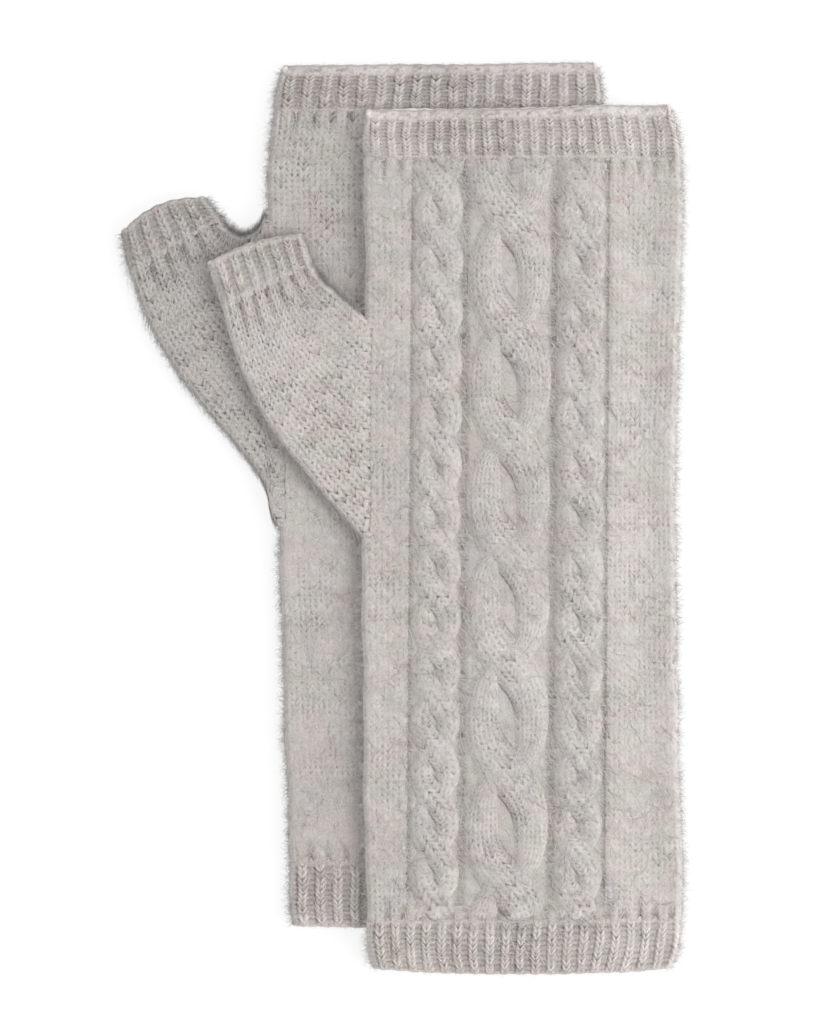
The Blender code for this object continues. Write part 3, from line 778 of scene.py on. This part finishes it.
fuzz = {
    "lying": 1.2,  # hairs a square millimetre where the fuzz is thickest
    "lyingLength": (2.0, 7.0), "lyingWidth": (0.06, 0.15),
    "edge": 30.0, "thumbEdge": 48.0,  # hairs a millimetre of outline
    "edgeLength": (0.4, 3.0), "edgeWidth": (0.05, 0.1),
    "rim": 16.0, "rimLength": (0.4, 1.8),  # hairs a millimetre of each layer's rim
    "handWidth": 88, "thumbWidth": 45, "thumbTipWidth": 27,  # that the counts of hairs go by
    "onRibs": 0.25, "onHand": (0.6, 0.3),  # chance of a lying hair, and how much it drifts
    "onThumbRib": 0.15, "onThumb": (0.25, 0.25),
    "patch": (14, 17), "thumbPatch": (14, 0.2),  # sizes of the patches, across and along
}


# Lengths of hairs, between the two of a fuzz value. A power over 1 makes more of them short
def hairLengths(key, count, power):
    low, high = fuzz[key]
    return low + (high - low) * random.random(count) ** power


# Hairs at the open ends of a tube, pointing out of it
def rimHairs(section, ends, perUnit, width):
    sets = []
    for t, way in ends:
        count = int(2 * width * fuzz["rim"])
        size = hairLengths("rimLength", count, 2)
        t = t - way * perUnit * random.uniform(0, 1.3, count)
        sets.append({
            "t": t, "around": random.uniform(-1, 1, count) * (section(t)[4] * 2 + np.pi * foldRadius),
            "angle": way * (np.pi / 2 + random.normal(0, 0.6, count)), "length": size,
            "curl": random.normal(0, 1.2, count), "start": random.uniform(-1.2, 0.1, count),
            "rise": random.uniform(-0.2, 0.5, count), "arch": random.normal(0, 0.2, count),
            "width": random.uniform(*fuzz["edgeWidth"], count),
        })
    return {key: np.concatenate([each[key] for each in sets]) for key in sets[0]}


# Hairs lying over the top of a tube, at places where keep is true
def lyingHairs(section, span, perUnit, area, keep, alongCables=False):
    count = int(area * fuzz["lying"])
    t = random.uniform(*span, count)
    around = random.uniform(-1, 1, count) * (section(t)[4] + foldRadius)
    kept = keep(around, t)
    t, around = t[kept], around[kept]
    count = len(t)
    angle = np.pi / 2 * random.choice([-1, 1], count) + 0.35 + random.normal(0, 0.75, count)
    if alongCables:
        # on the panel they slant up to the left, as the strands in front do, or down to the right
        inPanel = np.abs(around) < cablePanel["gutters"][-1] + 4
        slanted = np.pi * (random.integers(0, 2, count) - 0.27) + random.normal(0, 0.4, count)
        angle = np.where(inPanel, slanted, angle)
    hairs = {
        "t": t, "around": around, "angle": angle,
        "length": random.uniform(*fuzz["lyingLength"], count), "curl": random.normal(0, 1.1, count),
        "start": random.uniform(-0.2, 0.1, count), "rise": random.uniform(0, 0.5, count),
        "arch": random.uniform(0.1, 0.6, count), "width": random.uniform(*fuzz["lyingWidth"], count),
    }
    tip = t + perUnit * hairs["length"] * np.sin(angle + hairs["curl"] / 4)
    inside = (tip > span[0]) & (tip < span[1])
    return {key: values[inside] for key, values in hairs.items()}


# Hairs standing out all round the outline of a tube's two folds
def edgeHairs(section, span, perSide, keep):
    count = int(2 * perSide)
    t = random.uniform(*span, count)
    side = random.choice([-1.0, 1.0], count)
    around = side * (section(t)[4] + np.pi * foldRadius * random.uniform(0.28, 0.68, count))
    kept = keep(around, t)
    t, around = t[kept], around[kept]
    count = len(t)
    size = hairLengths("edgeLength", count, 1.8)
    return {
        "t": t, "around": around, "angle": random.uniform(0, 2 * np.pi, count),
        "length": size * random.uniform(0.3, 1.2, count), "curl": random.normal(0, 1.4, count),
        "start": np.full(count, -0.2), "rise": size, "arch": random.normal(0, 0.3, count),
        "width": random.uniform(*fuzz["edgeWidth"], count),
    }


# Noise over the wool: its scale, detail, stretch and shift, the two values between which it grows,
# and how strongly it shows, or None where that is in the wool's look
woolNoise = {
    "patches": (110, 3, (0.8, 1.2, 1), 0, 0.40, 0.60, 1.0),
    "blue": (140, 3, (1.1, 0.9, 1), 7, 0.52, 0.68, 0.6),
    "broad": (28, 2, (1, 1, 1), 11, 0.42, 0.62, 0.4),
    "specks": (1700, 2, (1, 1, 1), 0, 0.55, 0.70, None),
    "glints": (2100, 2, (1, 0.7, 1), 3, 0.54, 0.68, None),
}
fibre = {"noise": (2600, 2, (1, 0.5, 1), 0), "deep": 0.0003, "strength": 0.35}


# Wool: three greys of one heather, mixed by the yarn's own shade and by soft patches, with
# painted light on raised stitches and folds, painted shade down in the stitches, a fine fibre
# bump and a soft sheen
def woolMaterial(name, look):
    material = bpy.data.materials.new(name)
    material.use_nodes = True
    nodes, links = material.node_tree.nodes, material.node_tree.links
    shader = nodes["Principled BSDF"]
    for key, value in (("Roughness", 0.95), ("Specular IOR Level", 0.15), ("Sheen Weight", look["sheen"]),
                       ("Sheen Roughness", 0.6), ("Sheen Tint", (*look["light"], 1))):
        shader.inputs[key].default_value = value
    coords = nodes.new("ShaderNodeTexCoord")

    def mixed(kind, factor, a, b):
        node = nodes.new("ShaderNodeMix")
        node.data_type, node.blend_type = "RGBA", kind
        for socket, value in ((0, factor), (6, a), (7, b)):
            if isinstance(value, tuple):
                node.inputs[socket].default_value = (*value, 1)
            else:
                links.new(value, node.inputs[socket])
        return node.outputs[2]

    def noise(scale, detail, stretch, shift):
        mapping, texture = nodes.new("ShaderNodeMapping"), nodes.new("ShaderNodeTexNoise")
        mapping.inputs["Scale"].default_value = stretch
        mapping.inputs["Location"].default_value = (shift, shift, shift)
        texture.inputs["Scale"].default_value = scale
        texture.inputs["Detail"].default_value = detail
        links.new(coords.outputs["Object"], mapping.inputs["Vector"])
        links.new(mapping.outputs["Vector"], texture.inputs["Vector"])
        return texture.outputs["Fac"]

    def ranged(value, low, high, strength):
        node = nodes.new("ShaderNodeMapRange")
        for key, number in (("From Min", low), ("From Max", high), ("To Min", 0.0), ("To Max", strength)):
            node.inputs[key].default_value = number
        links.new(value, node.inputs["Value"])
        return node.outputs["Result"]

    def pattern(key):
        *texture, low, high, strength = woolNoise[key]
        return ranged(noise(*texture), low, high, look[key] if strength is None else strength)

    def layer(key, low, high, strength):
        node = nodes.new("ShaderNodeAttribute")
        node.attribute_name = key
        return ranged(node.outputs["Fac"], low, high, strength)

    colour = mixed("MIX", pattern("patches"), look["pink"], look["green"])
    for share, over in (
        # the shade layer towards light: the heather's own tone, and painted light on raised stitches
        (pattern("blue"), "blue"), (pattern("broad"), "light"), (layer("shade", 0.1, 0.9, 0.6), "light"),
        # painted light on the folds: past 1, the shade layer turns them bright
        (layer("shade", 1.0, 2.0, look["folds"]), "bright"),
        (pattern("specks"), "dark"), (pattern("glints"), "bright"),
    ):
        colour = mixed("MIX", share, colour, look[over])
    # painted shade: the hollow layer darkens the stitches' hollows towards deep
    colour = mixed("MULTIPLY", layer("hollow", 0.15, 1.1, look["hollow"]), colour, look["deep"])
    links.new(colour, shader.inputs["Base Color"])
    bump = nodes.new("ShaderNodeBump")
    bump.inputs["Distance"].default_value = fibre["deep"]
    bump.inputs["Strength"].default_value = fibre["strength"]
    links.new(noise(*fibre["noise"]), bump.inputs["Height"])
    links.new(bump.outputs["Normal"], shader.inputs["Normal"])
    return material


# deep is the colour of the painted shade in the stitches' hollows, and hollow its strength; bright is reached
# by the painted light on the folds, at strength folds, and by the glints
woolLook = {
    "light": (0.49, 0.465, 0.45), "pink": (0.42, 0.36, 0.345), "green": (0.39, 0.375, 0.335),
    "blue": (0.375, 0.365, 0.37),
    "dark": (0.19, 0.17, 0.165), "bright": (0.66, 0.63, 0.61), "deep": (0.27, 0.245, 0.24),
    "specks": 0.4, "glints": 0.35, "hollow": 1.0, "folds": 0.9, "sheen": 0.35,
}
# The ribs: a paler light grey, so that the painted light on their crests shows more, and darker base greys
ribLook = {
    **woolLook, "light": (0.60, 0.56, 0.545), "pink": (0.37, 0.31, 0.30), "green": (0.34, 0.32, 0.29),
    "blue": (0.325, 0.315, 0.32), "specks": 0.5, "glints": 0.55,
}


# The same wool, darker: a copy with painted shade
def shadedCopy(look, share):
    return {key: tuple(share * c for c in value) if isinstance(value, tuple) else value
            for key, value in look.items()}


ribWool = woolMaterial("ribWool", ribLook)
# painted shade: each hand and thumb, and the lower glove's finger rib, wear a darker copy of one wool,
# darkest on the lower glove and its thumb
lowerRibWool = woolMaterial("lowerRibWool", shadedCopy(ribLook, 0.93))
handWool = {
    "left": woolMaterial("lowerHandWool", shadedCopy(woolLook, 0.92)),
    "right": woolMaterial("upperHandWool", shadedCopy(woolLook, 0.97)),
}
thumbWool = {
    "left": woolMaterial("lowerThumbWool", {**shadedCopy(woolLook, 0.81), "specks": 0.6, "glints": 0.65}),
    "right": woolMaterial("upperThumbWool", {**shadedCopy(woolLook, 0.97), "specks": 0.5, "glints": 0.5}),
}


hairLook = {
    "lying": (0.52, 0.50, 0.485, 1), "edge": (0.40, 0.385, 0.37, 1), "dark": (0.26, 0.235, 0.23, 1),
    "darkShare": 0.08, "lightFrom": 0.14,  # shares of the hairs
    "through": 0.15,  # light that a hair lets through
}


# Hair: a soft fibre that lets some light through, mostly light and now and then dark
def hairMaterial(name, light):
    material = bpy.data.materials.new(name)
    material.use_nodes = True
    nodes, links = material.node_tree.nodes, material.node_tree.links
    nodes.remove(nodes["Principled BSDF"])
    mix, diffuse, through, shade, ramp = (nodes.new(f"ShaderNode{kind}") for kind in (
        "MixShader", "BsdfDiffuse", "BsdfTranslucent", "Attribute", "ValToRGB"))
    shade.attribute_name = "shade"
    dark, pale = ramp.color_ramp.elements
    dark.color, pale.color = hairLook["dark"], light
    dark.position, pale.position = hairLook["darkShare"], hairLook["lightFrom"]
    links.new(shade.outputs["Fac"], ramp.inputs["Fac"])
    mix.inputs["Fac"].default_value = hairLook["through"]
    for shader, socket in ((diffuse, 1), (through, 2)):
        links.new(ramp.outputs["Color"], shader.inputs["Color"])
        links.new(shader.outputs[0], mix.inputs[socket])
    links.new(mix.outputs[0], nodes["Material Output"].inputs["Surface"])
    return material


lyingWool = hairMaterial("lyingWool", hairLook["lying"])
edgeWool = hairMaterial("edgeWool", hairLook["edge"])
triangles = {}


# Dresses one piece: its wool, what it rides on, and the frame's parts that it stands for, which it hides; and
# counts its triangles
def finish(piece, nodes, material):
    piece.data.materials.append(material)
    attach(piece, "root")
    if nodes:
        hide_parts(*nodes)
    triangles[piece.name] = 2 * len(piece.data.polygons)
    print(piece.name, triangles[piece.name], "triangles")


# The six strands of the three cables, as one mesh
def joinedStrands(glove):
    strands = [cableStrand(glove, cable, way, 60 + 9 * k + 4 * way)
               for k, cable in enumerate(cablePanel["cables"]) for way in (-1, 1)]
    starts = np.cumsum([0] + [points.size // 3 for points, _, _ in strands])
    faces = np.concatenate([gridQuads(each[0], False) + start for each, start in zip(strands, starts)])
    points = np.concatenate([points.reshape(-1, 3) for points, _, _ in strands])
    layers = {key: np.concatenate([np.ravel(values[key]) for _, values, _ in strands])
              for key in ("hollow", "shade")}
    uv = np.concatenate([uv.reshape(-1, 2) for _, _, uv in strands])
    return meshObject("rightCables", points, faces, layers, uv)


# Length of a thumb's rib cuff along the thumb, in millimetres
thumbRibLength = 11.0


# The five pieces of one glove, and its cables
def buildGlove(glove, cabled):
    side, length, rims = glove["side"], glove["length"], glove["rims"]
    section, thumb = handSection(glove), thumbSection(glove)
    seed = 5 if cabled else 50
    handEnd, bow = length - glove["fingerRib"], rims["arm"][1]
    hand = handTube(glove, cabled)
    cables = [joinedStrands(glove)] if cabled else []
    for piece in cables:
        finish(piece, [], handWool[side])
    finish(hand, [f"{side}_hand_tube"], handWool[side])
    arm = ribCuff(f"{side}ArmRib", glove, section, glove["armRib"], bow, glove["armRib"] - bow,
                  glove["ribs"], rims["arm"], seed, -1)
    finish(arm, [f"{side}_arm_rib"], ribWool)
    finger = ribCuff(f"{side}FingerRib", glove, section, handEnd, length, glove["fingerRib"],
                     glove["ribs"], rims["finger"], seed + 1)
    fingerWool = ribWool if cabled else lowerRibWool
    finish(finger, [f"{side}_finger_rib"], fingerWool)
    finish(thumbTube(glove, seed + 2), [f"{side}_thumb_tube"], thumbWool[side])
    tip = ribCuff(f"{side}ThumbRib", glove, thumb, glove["thumbRibFrom"], 1.0, thumbRibLength,
                  glove["thumbRibs"], rims["thumb"], seed + 3)
    finish(tip, [f"{side}_thumb_rib"], thumbWool[side])


# Whether a place on the lower glove is under the upper one
def covered(x, y):
    left, right = sideEdges(upperGlove, y - upperGlove["place"][1])
    x = x - upperGlove["place"][0]
    return (x > left + 1) & (x < right - 1) & (y < upperGlove["place"][1] + upperGlove["length"] - 2)


# All the hairs of one glove: lying on it, standing out from its folds, and at its rims. The ground
# and shift functions give how high and how far on the knitting under a hair lies
def addFuzz(glove, cabled):
    hand, thumb = handSection(glove), thumbSection(glove)
    length, rims = glove["length"], glove["rims"]
    armEnd, thumbRibFrom = rims["arm"][1], glove["thumbRibFrom"]

    def handGround(around, y):
        under = foldShare(around, hand(y)[4])
        down = (rimDroop(rimPress(rims["finger"]), under, length - y)
                + rimDroop(rimPress(rims["arm"]), under, y - armEnd))
        return (panelHeight(around + hand(y)[0], y) if cabled else 0) - down

    def thumbGround(around, t):
        return -rimDroop(rimPress(rims["thumb"]), foldShare(around, thumb(t)[4]), (1 - t) * thumbLength)

    def handShift(around, y):
        flat = hand(y)[4]
        finger = ((y - length + glove["fingerRib"]) / glove["fingerRib"]).clip(0, 1)
        arm = ((glove["armRib"] - y) / (glove["armRib"] - armEnd)).clip(0, 1)
        return rimAhead(rims["finger"], around, flat, finger) + rimAhead(rims["arm"], around, flat, -arm)

    def thumbShift(around, t):
        part = ((t - thumbRibFrom) / (1 - thumbRibFrom)).clip(0, 1)
        return rimAhead(rims["thumb"], around, thumb(t)[4], part)

    def seen(around, y):
        x = hand(y)[0] + around
        hidden = covered(x + glove["place"][0], y + glove["place"][1]) if not cabled else False
        inSlot = (around < -hand(y)[4]) & (y > glove["slot"][0]) & (y < glove["slot"][1])
        return ~(hidden | inSlot)

    def anywhere(around, t):
        return np.ones(len(t), bool)

    # the fuzz is patchy, and thin over the ribs
    def patchy(around, t, size, rib, onRibs, mean, spread):
        patch = mean + spread * drift(around / size[0], t / size[1], stitchTable)
        return random.random(len(t)) < np.where(rib, onRibs, patch)

    def onHand(around, y):
        rib = (y < glove["armRib"]) | (y > length - glove["fingerRib"])
        return seen(around, y) & patchy(around, y, fuzz["patch"], rib, fuzz["onRibs"], *fuzz["onHand"])

    def onThumb(around, t):
        rib = t > thumbRibFrom
        return patchy(around, t, fuzz["thumbPatch"], rib, fuzz["onThumbRib"], *fuzz["onThumb"])

    handArea, thumbArea = fuzz["handWidth"] * length, fuzz["thumbWidth"] * thumbLength
    perThumb = 1 / thumbLength
    onHandTube = (hand, 1.0, handGround, handShift)
    onThumbTube = (thumb, perThumb, thumbGround, thumbShift)
    sets = [
        ("HandHairs", onHandTube, False, lyingHairs(hand, (3, length - 3), 1.0, handArea, onHand, cabled)),
        ("HandEdgeHairs", onHandTube, True, edgeHairs(hand, (armEnd, length), fuzz["edge"] * length, seen)),
        ("HandRimHairs", onHandTube, True,
         rimHairs(hand, [(armEnd, -1), (length, 1)], 1.0, fuzz["handWidth"])),
        ("ThumbHairs", onThumbTube, False, lyingHairs(thumb, (0.03, 0.97), perThumb, thumbArea, onThumb)),
        ("ThumbEdgeHairs", onThumbTube, True,
         edgeHairs(thumb, (0.05, 1), fuzz["thumbEdge"] * thumbLength, anywhere)),
        ("ThumbRimHairs", onThumbTube, True, rimHairs(thumb, [(1, 1)], perThumb, fuzz["thumbTipWidth"])),
    ]
    for name, (section, perUnit, ground, shift), rolled, hairs in sets:
        piece = hairMesh(glove["side"] + name, glove, section, perUnit, hairs, ground, shift, rolled)
        finish(piece, [], edgeWool if rolled and not cabled else lyingWool)


buildGlove(lowerGlove, False)
buildGlove(upperGlove, True)
addFuzz(lowerGlove, False)
addFuzz(upperGlove, True)
print("triangles in all", sum(triangles.values()))


# Floor, light and camera
studio = {
    "floor": {"size": 2.4, "at": -0.0004, "colour": (0.15, 0.15, 0.15), "rough": 0.9, "glow": 0.8},
    "key": {"at": (1.15, -0.55, 0.9), "size": 1.0, "power": 20.0},
    "fill": {"at": (0.1, 0.9, 1.2), "size": 1.6, "power": 7.0},
    "world": 0.85,
    "lens": 130, "sensor": 36, "clip": (0.05, 10),
    "frame": (819, 1024), "perPixel": 0.283 * mm,
    "focusHeight": 0.007, "shift": (2.4 * mm, 1.6 * mm),
}


def makeFloor(look):
    bpy.ops.mesh.primitive_grid_add(x_subdivisions=8, y_subdivisions=8, size=look["size"])
    floor = bpy.context.object
    floor.name = "floor"
    floor.location.z = look["at"]
    material = bpy.data.materials.new("paleFloor")
    material.use_nodes = True
    shader = material.node_tree.nodes["Principled BSDF"]
    for key, value in (("Base Color", (*look["colour"], 1)), ("Roughness", look["rough"]),
                       ("Emission Color", (1, 1, 1, 1)), ("Emission Strength", look["glow"])):
        shader.inputs[key].default_value = value
    floor.data.materials.append(material)


# A square lamp that faces the middle of the pair
def makeLamp(name, look):
    light = bpy.data.lights.new(name, "AREA")
    light.size, light.energy = look["size"], look["power"]
    lamp = bpy.data.objects.new(name, light)
    lamp.location = look["at"]
    lamp.rotation_euler = (-Vector(look["at"])).to_track_quat("-Z", "Y").to_euler()
    bpy.context.scene.collection.objects.link(lamp)


def makeWorld(strength):
    world = bpy.data.worlds.new("world")
    world.use_nodes = True
    background = world.node_tree.nodes["Background"]
    background.inputs["Color"].default_value = (1, 1, 1, 1)
    background.inputs["Strength"].default_value = strength
    bpy.context.scene.world = world
    bpy.context.scene.view_settings.view_transform = "Standard"


# The camera looks straight down, from so high that a pixel covers perPixel at focusHeight
def makeCamera():
    camera = bpy.data.objects.new("camera", bpy.data.cameras.new("camera"))
    camera.data.lens, camera.data.sensor_width = studio["lens"], studio["sensor"]
    height = studio["frame"][1] * studio["perPixel"] * studio["lens"] / studio["sensor"]
    camera.location = (*studio["shift"], studio["focusHeight"] + height)
    camera.data.clip_start, camera.data.clip_end = studio["clip"]
    bpy.context.scene.collection.objects.link(camera)
    bpy.context.scene.camera = camera


makeFloor(studio["floor"])
for each in ("key", "fill"):
    makeLamp(each, studio[each])
makeWorld(studio["world"])
makeCamera()
print("floor, lamps and camera set")
